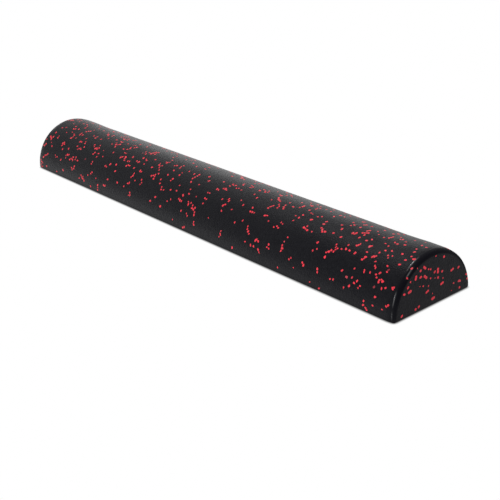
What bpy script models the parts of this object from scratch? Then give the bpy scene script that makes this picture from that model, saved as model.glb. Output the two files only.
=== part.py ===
"""Half round foam roller, moulded from black bead foam with red beads fused into its skin.

The roller is one solid moulding, 36 inches long, 6 inches wide and 3 inches high: half of a
6 inch round roller. The beads that show on its two flat ends are separate solids here. Each
is flattened where it lay against the mould, and sits in a pocket of its own in the foam.

The roller lies on its flat side. X runs along it, Y across it and Z up from the flat side,
and the origin is in the middle of the flat side. Lengths are in metres, angles in degrees.
"""

from math import atan2, cos, hypot, radians, sin, sqrt

import bmesh
import bpy
from mathutils import Matrix

# The moulding: 36 inches of a 6 inch round, cut along its axis
LENGTH = 0.9144
RADIUS = 0.0762
RIM_RADIUS = 0.006          # rounding where the barrel meets a flat end
FOOT_RADIUS = 0.0025        # rounding all round the flat side, at the mould's parting line
BARREL_SIDES = 96           # sides of the full round, half of which is kept
RIM_STEPS = 5
FOOT_STEPS = 3
SHARP_ANGLE = 50.0          # steeper edges than this are the ones that get rounded

# Marks that the mould leaves on the flat side: filling guns in a row, steam vents beside them
GUN_DIAMETER = 0.020
GUN_SPACING = 0.2286
GUN_COUNT = 4
VENT_DIAMETER = 0.008
VENT_SPACING = 0.0762
VENT_COUNT = 11
VENT_ROW_OFFSET = 0.045     # from the middle of the flat side to each row of vents
MARK_DEPTH = 0.0006
MARK_SIDES = 20

# The red beads: their faces on the flat ends, and how deep they lie
SINGLE_LENGTH = 0.0046
SINGLE_WIDTH = 0.0040
SMALL_LENGTH = 0.0032
SMALL_WIDTH = 0.0029
OVAL_LENGTH = 0.0056        # one bead squeezed long by its neighbours
OVAL_WIDTH = 0.0035
TWIN_LENGTH = 0.0086        # two beads fused side by side
TWIN_WAIST = 0.0032
WIDE_LENGTH = 0.0088        # two large ones, hardly waisted
WIDE_WAIST = 0.0044
DUMBBELL_LENGTH = 0.0104    # two that only just meet
DUMBBELL_WAIST = 0.0028
ARCH_LENGTH = 0.0080        # three beads fused along a bend
ARCH_WAIST = 0.0034
ARCH_RISE = 0.0014          # how far the ends of an arch stand above its middle
BEAD_DEPTH = 0.0018
BEAD_CLEARANCE = 0.0003     # between a bead and its pocket, all round
END_LAND = 0.0008           # foam left between a pocket and the edge of the flat end
BESIDE_STEP = 0.005         # the usual way from a bead to the one that lies beside it
BEAD_SIDES = 12
BEAD_RINGS = 2

CUT_OVERRUN = 0.002         # how far every cutter reaches past the face that it cuts
JOIN_DISTANCE = 0.000001    # points closer than this are one point

# Face of each kind of bead: its length, its width at the middle and how far its ends rise
BEAD_FACES = {
    "single": (SINGLE_LENGTH, SINGLE_WIDTH, 0.0),
    "small": (SMALL_LENGTH, SMALL_WIDTH, 0.0),
    "oval": (OVAL_LENGTH, OVAL_WIDTH, 0.0),
    "twin": (TWIN_LENGTH, TWIN_WAIST, 0.0),
    "wide": (WIDE_LENGTH, WIDE_WAIST, 0.0),
    "dumbbell": (DUMBBELL_LENGTH, DUMBBELL_WAIST, 0.0),
    "arch": (ARCH_LENGTH, ARCH_WAIST, ARCH_RISE),
}

# Each bead on an end: its kind, its turn in degrees, the number of the bead that it lies beside,
# or 0 where it stands alone, and its place as two shares. For one that stands alone they are
# shares of the flat end: the first goes across, from -1 to 1, and the second goes up, from the
# lowest place that a bead can have there, 0, to the highest, 1. One that lies beside another
# keeps its distance from it whatever the roller's size, so its shares are of BESIDE_STEP,
# across and up from that bead.
BEAD_SHARES = [
    ("single", 90, 0, 0.31, 1.00),
    ("oval", 38, 0, 0.76, 0.86),
    ("twin", 17, 0, 0.58, 0.69),
    ("single", 20, 0, 0.26, 0.64),
    ("dumbbell", 90, 0, 0.14, 0.71),
    ("oval", 43, 5, -1.26, 0.04),
    ("small", 20, 8, 0.81, -0.30),
    ("small", 90, 9, 1.48, -0.93),
    ("twin", -45, 0, -0.26, 0.96),
    ("single", 45, 0, -0.37, 0.94),
    ("twin", 76, 0, -0.52, 0.92),
    ("oval", 24, 13, -1.84, 0.57),
    ("dumbbell", -44, 0, -0.24, 0.71),
    ("small", 30, 0, -0.08, 0.58),
    ("single", 90, 5, 0.08, -2.05),
    ("small", 90, 0, -0.65, 0.96),
    ("oval", 34, 0, -0.73, 0.94),
    ("wide", 13, 0, -0.70, 0.73),
    ("oval", -20, 0, -0.84, 1.00),
    ("small", 90, 0, -0.29, 0.50),
    ("twin", 18, 0, 0.27, 0.33),
    ("small", 0, 0, 0.61, 0.26),
    ("arch", 164, 0, 0.81, 0.30),
    ("single", 90, 0, 0.80, 0.03),
    ("twin", 20, 0, -0.18, 0.29),
    ("wide", 10, 0, 0.00, 0.04),
    ("oval", 38, 0, -0.42, 0.03),
    ("single", 20, 27, -1.24, -0.32),
    ("oval", 47, 0, -0.91, 0.00),
]

# The two ends: name, and the side that it faces along X
ENDS = (("right_end", 1), ("left_end", -1))


def clear_scene():
    """Remove every object that the scene starts with."""
    for old in list(bpy.data.objects):
        bpy.data.objects.remove(old, do_unlink=True)


def new_collection(name):
    """A collection of the scene for one kind of object."""
    collection = bpy.data.collections.new(name)
    bpy.context.scene.collection.children.link(collection)
    return collection


def plastic(name, colour, roughness):
    """A plain moulded plastic: colour, roughness, and no metal in it."""
    material = bpy.data.materials.new(name)
    material.use_nodes = True
    shader = material.node_tree.nodes["Principled BSDF"]
    shader.inputs["Base Color"].default_value = (*colour, 1.0)
    shader.inputs["Roughness"].default_value = roughness
    shader.inputs["Metallic"].default_value = 0.0
    material.diffuse_color = (*colour, 1.0)
    return material


def add_object(name, bm, collection, material=None):
    """Turn a bmesh into a named object, shaded smooth between its sharp edges."""
    bmesh.ops.recalc_face_normals(bm, faces=bm.faces)
    mesh = bpy.data.meshes.new(name)
    bm.to_mesh(mesh)
    bm.free()
    mesh.shade_smooth()
    mesh.set_sharp_from_angle(angle=radians(SHARP_ANGLE))
    if material:
        mesh.materials.append(material)
    thing = bpy.data.objects.new(name, mesh)
    collection.objects.link(thing)
    return thing


def add_cutter(name, bm, collection):
    """An object that only cuts others: drawn as wires and left out of renders."""
    cutter = add_object(name, bm, collection)
    cutter.display_type = "WIRE"
    cutter.hide_render = True
    return cutter


def cut(thing, cutter):
    """Take the cutter's shape out of a thing with a Boolean modifier."""
    boolean = thing.modifiers.new(cutter.name, "BOOLEAN")
    boolean.operation = "DIFFERENCE"
    boolean.solver = "EXACT"
    boolean.object = cutter


def round_edges(bm, edges, radius, steps):
    """Round edges with an arc of the given radius."""
    bmesh.ops.bevel(
        bm,
        geom=edges,
        offset=radius,
        offset_type="OFFSET",
        segments=steps,
        profile=0.5,
        affect="EDGES",
    )


def sharp_edges(bm):
    """The edges where two faces meet at more than the sharp angle."""
    return [edge for edge in bm.edges if edge.calc_face_angle() > radians(SHARP_ANGLE)]


def half_round():
    """The moulding: a rounded cylinder lying along X, halved, with its foot rounded."""
    bm = bmesh.new()
    bmesh.ops.create_cone(
        bm,
        cap_ends=True,
        segments=BARREL_SIDES,
        radius1=RADIUS,
        radius2=RADIUS,
        depth=LENGTH,
        matrix=Matrix.Rotation(radians(90), 4, "Y"),
    )
    round_edges(bm, sharp_edges(bm), RIM_RADIUS, RIM_STEPS)

    everything = bm.verts[:] + bm.edges[:] + bm.faces[:]
    bmesh.ops.bisect_plane(
        bm,
        geom=everything,
        dist=JOIN_DISTANCE,
        plane_co=(0, 0, 0),
        plane_no=(0, 0, 1),
        clear_inner=True,
    )
    open_edges = [edge for edge in bm.edges if edge.is_boundary]
    bmesh.ops.contextual_create(bm, geom=open_edges)
    round_edges(bm, sharp_edges(bm), FOOT_RADIUS, FOOT_STEPS)
    return bm


def mould_marks():
    """Cutters for the round marks on the flat side, which are shallow discs seen from below."""
    bm = bmesh.new()
    marks = []
    for number in range(GUN_COUNT):
        along = (number - (GUN_COUNT - 1) / 2) * GUN_SPACING
        marks.append((along, 0.0, GUN_DIAMETER))
    for number in range(VENT_COUNT):
        along = (number - (VENT_COUNT - 1) / 2) * VENT_SPACING
        for side in (-1, 1):
            marks.append((along, side * VENT_ROW_OFFSET, VENT_DIAMETER))
    for along, across, diameter in marks:
        middle = (MARK_DEPTH - CUT_OVERRUN) / 2
        bmesh.ops.create_cone(
            bm,
            cap_ends=True,
            segments=MARK_SIDES,
            radius1=diameter / 2,
            radius2=diameter / 2,
            depth=MARK_DEPTH + CUT_OVERRUN,
            matrix=Matrix.Translation((along, across, middle)),
        )
    return bm


def bead_outline(angle, kind, grow):
    """One point of a bead's face, at an angle round its middle.

    The radius goes smoothly from half the length to half the width and back. Where the width
    is less than half the length, that draws in a waist, as between two beads fused together.
    Both ends of an arch rise with the square of the way along.
    """
    length, width, rise = BEAD_FACES[kind]
    half_length = length / 2 + grow
    half_width = width / 2 + grow
    radius = half_length * cos(angle) ** 2 + half_width * sin(angle) ** 2
    along = radius * cos(angle)
    lift = rise * ((along / half_length) ** 2 - 1 / 3)
    return along, radius * sin(angle) + lift


def add_bead(bm, kind, place, grow=0.0, overrun=0.0):
    """Add a bead to a bmesh: a flat face on top and a rounded bowl of the same outline below.

    It starts as the lower half of a unit sphere. Each ring of it is the face's outline, drawn
    in as on the sphere. A pocket is the same shape grown by the clearance all round, whose
    face is raised past the flat end by the overrun.
    """
    bowl = bmesh.ops.create_uvsphere(
        bm, u_segments=BEAD_SIDES, v_segments=2 * BEAD_RINGS, radius=1
    )["verts"]
    bmesh.ops.delete(bm, geom=[v for v in bowl if v.co.z > JOIN_DISTANCE], context="VERTS")
    bowl = [v for v in bowl if v.is_valid]
    rim = {edge for vert in bowl for edge in vert.link_edges if edge.is_boundary}
    face = bmesh.ops.contextual_create(bm, geom=list(rim))["faces"][0]
    face_verts = set(face.verts)

    for vert in bowl:
        inward = hypot(vert.co.x, vert.co.y)
        along, up = bead_outline(atan2(vert.co.y, vert.co.x), kind, grow)
        depth = vert.co.z * (BEAD_DEPTH + grow)
        vert.co = (along * inward, up * inward, depth)
        if vert in face_verts:
            vert.co.z = 0.0
    if overrun:
        raised = bmesh.ops.extrude_face_region(bm, geom=[face])["geom"]
        top = [item for item in raised if isinstance(item, bmesh.types.BMVert)]
        bmesh.ops.delete(bm, geom=[face], context="FACES_ONLY")
        bmesh.ops.translate(bm, verts=top, vec=(0, 0, overrun))
        bowl += top
    bmesh.ops.transform(bm, matrix=place, verts=bowl)


def bead_middle(number):
    """The middle of a bead's face on its end, across and up, from its place in BEAD_SHARES.

    The shares of a bead that stands alone are of the room that the flat end leaves for a
    whole bead, its pocket and a little foam around it.
    """
    kind, turn, beside, across_share, up_share = BEAD_SHARES[number - 1]
    if beside:
        across, up = bead_middle(beside)
        return across + across_share * BESIDE_STEP, up + up_share * BESIDE_STEP
    half_length = BEAD_FACES[kind][0] / 2 + BEAD_CLEARANCE + END_LAND
    reach = RADIUS - RIM_RADIUS - half_length
    lowest = FOOT_RADIUS + half_length
    across = across_share * reach
    highest = sqrt(reach**2 - across**2)
    return across, lowest + up_share * (highest - lowest)


def bead_matrix(number, side):
    """Where a bead lies on the end of that side: its matrix, with Z out of the end and Y up."""
    turn = BEAD_SHARES[number - 1][1]
    across, up = bead_middle(number)
    out_of_end = Matrix(((0, 0, side), (side, 0, 0), (0, 1, 0))).to_4x4()
    place = Matrix.Translation((side * LENGTH / 2, side * across, up))
    return place @ out_of_end @ Matrix.Rotation(radians(turn), 4, "Z")


def build():
    """Make the moulding, cut its marks and pockets, and lay a red bead in each pocket."""
    clear_scene()
    roller = new_collection("half_round_foam_roller")
    cutters = new_collection("cutters")
    black_foam = plastic("black_foam", (0.019, 0.019, 0.020), 0.5)
    red_bead = plastic("red_bead", (0.62, 0.016, 0.022), 0.42)

    foam_body = add_object("foam_body", half_round(), roller, black_foam)
    cut(foam_body, add_cutter("mould_mark_cutter", mould_marks(), cutters))

    for end, side in ENDS:
        pockets = bmesh.new()
        for number, (kind, *_) in enumerate(BEAD_SHARES, start=1):
            place = bead_matrix(number, side)
            add_bead(pockets, kind, place, BEAD_CLEARANCE, CUT_OVERRUN)
            bead = bmesh.new()
            add_bead(bead, kind, place)
            add_object(f"{end}_bead_{number:02d}", bead, roller, red_bead)
        cut(foam_body, add_cutter(f"{end}_pocket_cutter", pockets, cutters))
    print("beads laid in pockets on each end:", len(BEAD_SHARES))


build()
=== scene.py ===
# %% [markdown]
# # A half round foam roller in black bead foam
# The roller is taken as half of a 6 inch round, 36 inches long. Rollers like it are usually
# moulded in one go: small beads of black plastic foam are blown into a hollow mould, and steam
# makes them swell and fuse. The red spots are taken to be beads that went in with the black
# ones, though they could be chips pressed into the surface. The photograph shows only the
# outcome, so most numbers below are fitted to it, judged or guessed. The CAD model is
# loaded as a frame that never moves, and this lesson lays a detailed skin, over a thousand red
# beads, a camera and a studio around it.

import bpy
import numpy as np
from mathutils import Matrix, Vector


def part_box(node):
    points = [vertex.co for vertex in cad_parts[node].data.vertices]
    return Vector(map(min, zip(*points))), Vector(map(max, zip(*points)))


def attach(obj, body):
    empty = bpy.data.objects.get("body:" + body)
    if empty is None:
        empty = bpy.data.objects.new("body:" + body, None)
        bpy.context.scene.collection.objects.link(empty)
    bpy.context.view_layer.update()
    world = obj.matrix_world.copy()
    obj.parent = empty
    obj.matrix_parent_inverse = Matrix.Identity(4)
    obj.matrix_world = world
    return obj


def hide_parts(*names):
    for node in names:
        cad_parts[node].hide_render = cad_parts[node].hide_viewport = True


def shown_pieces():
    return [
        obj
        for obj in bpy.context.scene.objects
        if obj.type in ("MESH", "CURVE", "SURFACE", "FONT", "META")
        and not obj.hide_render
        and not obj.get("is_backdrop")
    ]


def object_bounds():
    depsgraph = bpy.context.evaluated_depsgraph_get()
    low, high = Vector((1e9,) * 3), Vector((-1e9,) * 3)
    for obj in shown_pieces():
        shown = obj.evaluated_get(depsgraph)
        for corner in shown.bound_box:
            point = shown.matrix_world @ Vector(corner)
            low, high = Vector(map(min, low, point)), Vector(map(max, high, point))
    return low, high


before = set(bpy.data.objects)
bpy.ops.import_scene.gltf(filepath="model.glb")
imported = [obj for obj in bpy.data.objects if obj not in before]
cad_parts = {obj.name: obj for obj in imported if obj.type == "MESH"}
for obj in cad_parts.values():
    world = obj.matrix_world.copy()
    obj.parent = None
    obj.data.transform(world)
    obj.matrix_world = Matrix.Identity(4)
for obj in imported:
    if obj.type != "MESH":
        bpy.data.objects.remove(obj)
cad_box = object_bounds()
print("CAD nodes:", len(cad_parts))

# %% [markdown]
# ## Sizes
# The overall sizes come from the frame, so the skin always fits the solid. The two roundings
# are the CAD model's own: a wide one where the barrel meets a flat end, and a small one all
# round the flat side. Both radii are estimates.

# %% Sizes of the moulding
body_low, body_high = (np.array(corner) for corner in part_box("foam_body"))
HALF_LENGTH = float(body_high[0])
RADIUS = float(body_high[2])
RIM = 0.006
FOOT = 0.0025
ARC = np.pi * RADIUS                    # way over the barrel, from one long edge to the other
MILLIMETRES = 1000                      # in a metre
print("length %.1f mm, radius %.1f mm" % (2 * HALF_LENGTH * MILLIMETRES, RADIUS * MILLIMETRES))

# %% [markdown]
# ## The camera
# The camera was found by fitting the roller's outline to the photograph, with the picture's
# middle kept as the lens's middle. The picture is a little askew, which is the roll.
# Two helpers go with it. One sends a ray out through a place in the picture, and the other
# says where a point of the roller lands in the picture.

# %% Camera
PHOTO_WIDTH = 500                       # pixels
FOCAL_PIXELS = 1043.0
SENSOR = 36.0                           # millimetres
AZIMUTH, ELEVATION, ROLL = np.radians((51.601, 24.054, -3.769))
DISTANCE = 1.4825
TARGET = np.array((0.2069, -0.1032, 0.038))


def camera_axes():
    """The camera's right, up and back directions: round by the azimuth, up, then rolled."""
    back = np.array((
        np.sin(AZIMUTH) * np.cos(ELEVATION),
        -np.cos(AZIMUTH) * np.cos(ELEVATION),
        np.sin(ELEVATION),
    ))
    right = np.cross((0, 0, 1), back)
    right /= np.linalg.norm(right)
    up = np.cross(back, right)
    turned_right = right * np.cos(ROLL) + up * np.sin(ROLL)
    turned_up = up * np.cos(ROLL) - right * np.sin(ROLL)
    return turned_right, turned_up, back


RIGHT, UP, BACK = camera_axes()
EYE = TARGET + DISTANCE * BACK


def picture_rays(places):
    """Directions of the rays through places in the picture, given as (across, down)."""
    offset = np.asarray(places, float) - PHOTO_WIDTH / 2
    rays = offset[:, :1] * RIGHT - offset[:, 1:] * UP - FOCAL_PIXELS * BACK
    return rays / np.linalg.norm(rays, axis=1, keepdims=True)


def picture_places(points):
    """Where points land in the picture, as (across, down)."""
    seen = np.asarray(points) - EYE
    depth = -(seen @ BACK)
    across = PHOTO_WIDTH / 2 + FOCAL_PIXELS * (seen @ RIGHT) / depth
    down = PHOTO_WIDTH / 2 - FOCAL_PIXELS * (seen @ UP) / depth
    return np.stack((across, down), axis=-1)


camera_data = bpy.data.cameras.new("camera")
camera_data.sensor_width = SENSOR
camera_data.lens = FOCAL_PIXELS / PHOTO_WIDTH * SENSOR
camera = bpy.data.objects.new("camera", camera_data)
camera.matrix_world = Matrix.Translation(EYE) @ Matrix(np.column_stack((RIGHT, UP, BACK))).to_4x4()
bpy.context.scene.collection.objects.link(camera)
bpy.context.scene.camera = camera
print("lens %.1f mm" % camera_data.lens)

# %% [markdown]
# ## Meshes from arrays
# Every new piece is worked out as arrays of points. These helpers put such arrays into
# a mesh, and join the points of a grid with four-sided faces.

# %% Mesh helpers
def new_object(name, points, faces, smooth=True):
    """A mesh object from an array of points and a list of arrays of faces."""
    corners = np.concatenate([part.ravel() for part in faces])
    counts = np.concatenate([np.full(len(part), part.shape[1]) for part in faces])
    starts = np.concatenate(([0], np.cumsum(counts)[:-1]))
    mesh = bpy.data.meshes.new(name)
    mesh.vertices.add(len(points))
    mesh.vertices.foreach_set("co", np.asarray(points, np.float32).ravel())
    mesh.loops.add(len(corners))
    mesh.loops.foreach_set("vertex_index", corners.astype(np.int32))
    mesh.polygons.add(len(counts))
    mesh.polygons.foreach_set("loop_start", starts.astype(np.int32))
    mesh.update(calc_edges=True)
    mesh.validate()
    if smooth:
        mesh.shade_smooth()
    thing = bpy.data.objects.new(name, mesh)
    bpy.context.scene.collection.objects.link(thing)
    return thing


def ring_quads(rings, sides, first=0):
    """Four-sided faces between neighbouring closed rings, with the points stored ring by ring."""
    ring, side = np.meshgrid(np.arange(rings - 1), np.arange(sides), indexing="ij")
    ahead = (side + 1) % sides
    quads = np.stack((
        ring * sides + side,
        ring * sides + ahead,
        (ring + 1) * sides + ahead,
        (ring + 1) * sides + side,
    ), axis=-1)
    return quads.reshape(-1, 4) + first


def point_attribute(mesh, name, values):
    """Store one number for each point of a mesh, for its material to read."""
    layer = mesh.attributes.new(name, "FLOAT", "POINT")
    layer.data.foreach_set("value", np.asarray(values, np.float32))


def ride_on_root(piece):
    """Say that a piece belongs to the roller."""
    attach(piece, "root")


# %% [markdown]
# ## Unevenness
# A moulded foam skin isn't a perfect surface, so it is given slight waves. Adding up a few
# dozen plane waves with random directions gives a smooth field over all space, with no seam,
# that any grid of points can read.

# %% Smooth noise and smooth steps
WAVE_COUNT = 28                         # plane waves in one field
WAVE_SPREAD = (0.7, 1.4)                # their lengths, as shares of the one asked for


def smooth_step(value, low, high):
    """0 below low, 1 above high, and a smooth step between them."""
    share = np.clip((value - low) / (high - low), 0, 1)
    return share * share * (3 - 2 * share)


def waves(points, length, seed):
    """Sum of cosines of plane waves about one wavelength long, scaled to about -1 to 1."""
    rng = np.random.default_rng(seed)
    direction = rng.normal(size=(WAVE_COUNT, 3))
    direction /= np.linalg.norm(direction, axis=1, keepdims=True)
    frequency = 2 * np.pi / (length * rng.uniform(*WAVE_SPREAD, WAVE_COUNT))
    phase = rng.uniform(0, 2 * np.pi, WAVE_COUNT)
    total = np.cos(points @ (direction * frequency[:, None]).T + phase).sum(axis=-1)
    return total / np.sqrt(2 * WAVE_COUNT)


# %% [markdown]
# ## The foam skin
# The skin is a single closed grid. Each station along the roller is the same closed outline:
# over the barrel, round the small foot edge, and back across the flat side. Towards an end the
# outline draws in, first gently and then by the rim's rounding, and on the flat end it shrinks
# to a point. Nothing has to be joined or welded, and there is no seam.

# %% Outline of one station
BARREL_COLUMNS = 132
FOOT_COLUMNS = 5
FLAT_COLUMNS = 26


def arc(start, stop, count, middle, radius):
    """Points (y, z) and normals of arcs. Angle 0 faces the camera's side, and 90 degrees up."""
    angles = np.linspace(start, stop, count, axis=-1)
    normals = np.stack((-np.cos(angles), np.sin(angles)), axis=-1)
    return middle[:, None, :] + radius[:, None, None] * normals, normals


def outlines(inset, lift):
    """Closed sections of the roller, one for each inset and lift: points (y, z) and normals.

    The barrel's circle is drawn in by the inset and the flat side is raised by the lift.
    A foot arc of radius FOOT touches both: its middle is FOOT above the flat side, and the
    circle's radius less FOOT away from the axis.
    """
    circle = RADIUS - inset
    foot_up = lift + FOOT
    foot_out = np.sqrt((circle - FOOT) ** 2 - foot_up ** 2)
    start = np.arctan2(foot_up, foot_out)
    axis = np.zeros((len(inset), 2))
    near_middle = np.stack((-foot_out, foot_up), axis=-1)
    far_middle = np.stack((foot_out, foot_up), axis=-1)
    foot = np.full(len(inset), FOOT)
    barrel = arc(start, np.pi - start, BARREL_COLUMNS, axis, circle)
    far_foot = arc(np.pi - start, np.full_like(start, 1.5 * np.pi), FOOT_COLUMNS, far_middle, foot)
    near_foot = arc(np.full_like(start, -0.5 * np.pi), start, FOOT_COLUMNS, near_middle, foot)
    across = np.linspace(foot_out, -foot_out, FLAT_COLUMNS, axis=-1)
    flat = np.stack((across, np.broadcast_to(lift[:, None], across.shape)), axis=-1)
    down = np.broadcast_to((0.0, -1.0), flat.shape)
    points = (barrel[0], far_foot[0][:, 1:], flat[:, 1:-1], near_foot[0][:, :-1])
    normals = (barrel[1], far_foot[1][:, 1:], down[:, 1:-1], near_foot[1][:, :-1])
    return np.concatenate(points, axis=1), np.concatenate(normals, axis=1)


# %% [markdown]
# In the photograph's outline the barrel doesn't seem to run straight into the rim. Over its
# last centimetre it leans in by about a pixel, and then the tight rounding follows. The photo
# gives no reason. So the rim's profile is two arcs, which end at the edge of the CAD model's
# flat end.

# %% Profile of the shoulder and the rim
SHOULDER_TURN = np.radians(12)
SHOULDER_LENGTH = 0.012
SHOULDER_RADIUS = SHOULDER_LENGTH / SHOULDER_TURN
SHOULDER_DROP = SHOULDER_RADIUS * (1 - np.cos(SHOULDER_TURN))
RIM_ARC = (RIM - SHOULDER_DROP) / np.cos(SHOULDER_TURN)
RIM_LENGTH = RIM_ARC * (0.5 * np.pi - SHOULDER_TURN)
SHOULDER_RUN = SHOULDER_RADIUS * np.sin(SHOULDER_TURN)
STRAIGHT = HALF_LENGTH - SHOULDER_RUN - RIM_ARC * (1 - np.sin(SHOULDER_TURN))


def rounding(way):
    """Where the skin is, a way past the straight barrel: how far along, how far in, and its lean.

    The lean grows evenly over the wide arc of the shoulder, then evenly over the tight arc of
    the rim, until it is a right angle at the flat end.
    """
    gentle = np.clip(way / SHOULDER_RADIUS, 0, SHOULDER_TURN)
    tight = SHOULDER_TURN + (way - SHOULDER_LENGTH) / RIM_ARC
    tight = np.clip(tight, SHOULDER_TURN, 0.5 * np.pi)
    run = SHOULDER_RADIUS * np.sin(gentle) + RIM_ARC * (np.sin(tight) - np.sin(SHOULDER_TURN))
    drop = SHOULDER_RADIUS * (1 - np.cos(gentle)) + RIM_ARC * (np.cos(SHOULDER_TURN) - np.cos(tight))
    return run, drop, np.where(way < SHOULDER_LENGTH, gentle, tight)


arcs = np.array((SHOULDER_LENGTH, RIM_ARC)) * MILLIMETRES
print("shoulder %.1f mm, then a rim of %.1f mm" % tuple(arcs))

# %% [markdown]
# The crown is drawn about a millimetre higher near both ends than a straight barrel would be.
# That is fitted to the photograph's outline, where it is about one pixel. Uneven shrinking
# could do it, but the photo gives no reason. The flare fades to nothing at the two long edges.

# %% Flare of the crown
FLARE_HEIGHT = 0.0014
FLARE_STARTS, FLARE_FULL = 0.085, 0.030     # from the end


def flare(points):
    """How much further from the axis points lie than on a straight barrel, as a factor.

    It grows with a smooth step towards the end, and with the square of the sine of the angle
    from the flat side up to the crown.
    """
    from_end = HALF_LENGTH - np.abs(points[..., 0])
    out = np.maximum(np.hypot(points[..., 1], points[..., 2]), FOOT)
    crown = (points[..., 2] / out) ** 2
    return 1 + FLARE_HEIGHT / RADIUS * crown * smooth_step(-from_end, -FLARE_STARTS, -FLARE_FULL)


def flared(points):
    """Points of a straight barrel, moved away from its axis by the flare."""
    return np.concatenate((points[..., :1], points[..., 1:] * flare(points)[..., None]), axis=-1)


top_of_end = np.array((HALF_LENGTH, 0.0, RADIUS))
print("flare at the top of an end: %.2f mm" % ((flare(top_of_end) - 1) * RADIUS * MILLIMETRES))

# %% [markdown]
# The relief is about a tenth of a millimetre, which is a guess: the photograph is too coarse to
# show it. It has long waves, and a finer unevenness about as long as a few beads. The flat
# ends and the flat side get less of it, because the roller stands on one and is measured by
# the others. On each shoulder runs a fine raised line, placed where the photograph has bright
# streaks. It could be a parting line. It is nearer to the end at the foot than at the crown.

# %% Stations and relief
BARREL_STATIONS = 196                   # from the middle to where the shoulder starts
SHOULDER_STATIONS = 24
RIM_STATIONS = 12
END_STATIONS = 34
END_MIDDLE_UP = 0.4 * RADIUS
LONG_WAVE, LONG_HEIGHT = 0.055, 0.00006
BEAD_WAVE, BEAD_HEIGHT = 0.009, 0.00003
CALMER_END, CALMER_UNDER = 0.6, 0.9     # shares of the relief that the ends and underside lose
SEAM_AT_FOOT, SEAM_AT_CROWN = 0.0039, 0.0077    # from the end
SEAM_WIDTH, SEAM_HEIGHT = 0.0007, 0.00010


def stations():
    """Stations along the roller: place x, inset, lift, and how far the skin leans to the end.

    Past the straight barrel they follow the rounding. On the last FOOT of the length the lift
    follows a quarter circle of radius FOOT.
    """
    shoulder = np.linspace(0, SHOULDER_LENGTH, SHOULDER_STATIONS + 1)[1:]
    tight = SHOULDER_LENGTH + np.linspace(0, RIM_LENGTH, RIM_STATIONS + 1)[1:]
    run, inset, lean = rounding(np.concatenate((shoulder, tight)))
    rim_x = STRAIGHT + run
    into_foot = np.clip(rim_x - (HALF_LENGTH - FOOT), 0, FOOT)
    lift = FOOT - np.sqrt(FOOT ** 2 - into_foot ** 2)
    half = np.linspace(0, STRAIGHT, BARREL_STATIONS)
    barrel_x = np.concatenate((-half[:0:-1], half))
    plain = np.zeros(len(barrel_x))
    x = np.concatenate((-rim_x[::-1], barrel_x, rim_x))
    inset = np.concatenate((inset[::-1], plain, inset))
    lift = np.concatenate((lift[::-1], plain, lift))
    lean = np.concatenate((-lean[::-1], plain, lean))
    return x, inset, lift, lean


def skin_grid():
    """Points and normals of the skin, ring by ring from the left end's middle to the right's."""
    x, inset, lift, lean = stations()
    section, section_normals = outlines(inset, lift)
    along = np.broadcast_to(x[:, None, None], section.shape[:2] + (1,))
    tip = np.broadcast_to(np.sin(lean)[:, None, None], along.shape)
    rings = flared(np.concatenate((along, section), axis=-1))
    normals = np.concatenate((tip, section_normals * np.cos(lean)[:, None, None]), axis=-1)

    shrink = np.linspace(1, 0, END_STATIONS + 1)[1:-1, None, None]
    left_middle = np.array((-HALF_LENGTH, 0.0, END_MIDDLE_UP))
    right_middle = np.array((HALF_LENGTH, 0.0, END_MIDDLE_UP))
    left = (left_middle + (rings[0] - left_middle) * shrink)[::-1]
    right = right_middle + (rings[-1] - right_middle) * shrink
    left_normals = np.broadcast_to((-1.0, 0.0, 0.0), left.shape)
    right_normals = np.broadcast_to((1.0, 0.0, 0.0), right.shape)
    return np.concatenate((left, rings, right)), np.concatenate((left_normals, normals, right_normals))


def past_seam(points):
    """How far points lie beyond the raised line, towards the nearer end."""
    from_end = SEAM_AT_FOOT + (SEAM_AT_CROWN - SEAM_AT_FOOT) * points[..., 2] / RADIUS
    return np.abs(points[..., 0]) - (HALF_LENGTH - from_end)


def relief(points, normals):
    """Height above the plain form: long waves, waves a few beads long, and a bell-shaped line.

    It is less where the skin faces an end, by the fourth power of how far it does, and where it
    faces down.
    """
    height = LONG_HEIGHT * waves(points, LONG_WAVE, seed=11)
    height += BEAD_HEIGHT * waves(points, BEAD_WAVE, seed=12)
    height += SEAM_HEIGHT * np.exp(-((past_seam(points) / SEAM_WIDTH) ** 2))
    facing_end = np.abs(normals[..., 0]) ** 4
    facing_down = np.clip(-normals[..., 2], 0, 1)
    return height * (1 - CALMER_END * facing_end) * (1 - CALMER_UNDER * facing_down)


rings, ring_normals = skin_grid()
rings = rings + ring_normals * relief(rings, ring_normals)[..., None]
rings[..., 2] = np.maximum(rings[..., 2], 0.0)
ring_count, columns = rings.shape[:2]
end_middles = np.array(((-HALF_LENGTH, 0, END_MIDDLE_UP), (HALF_LENGTH, 0, END_MIDDLE_UP)))
skin_points = np.concatenate((rings.reshape(-1, 3), end_middles))
column = np.arange(columns)
ahead = (column + 1) % columns
left_middle = np.full(columns, ring_count * columns)
last_ring = (ring_count - 1) * columns
left_fan = np.column_stack((left_middle, column, ahead))
right_fan = np.column_stack((left_middle + 1, last_ring + ahead, last_ring + column))
skin_faces = [ring_quads(ring_count, columns)[:, ::-1], left_fan, right_fan]
foam_skin = new_object("foam_skin", skin_points, skin_faces)
print("foam skin:", ring_count, "rings of", columns, "points,", len(foam_skin.data.polygons), "faces")

# %% [markdown]
# ## Marks of the mould on the flat side
# The flat side is out of sight, so these marks are a guess. Bead foam is often moulded through
# filling guns and steam vents, which leave shallow round marks, and the side on the floor is a
# likely place for them. They are cut in the same places as in the CAD model, with a Boolean
# modifier that is then applied. It only cuts if the skin's faces all look outward.

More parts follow.
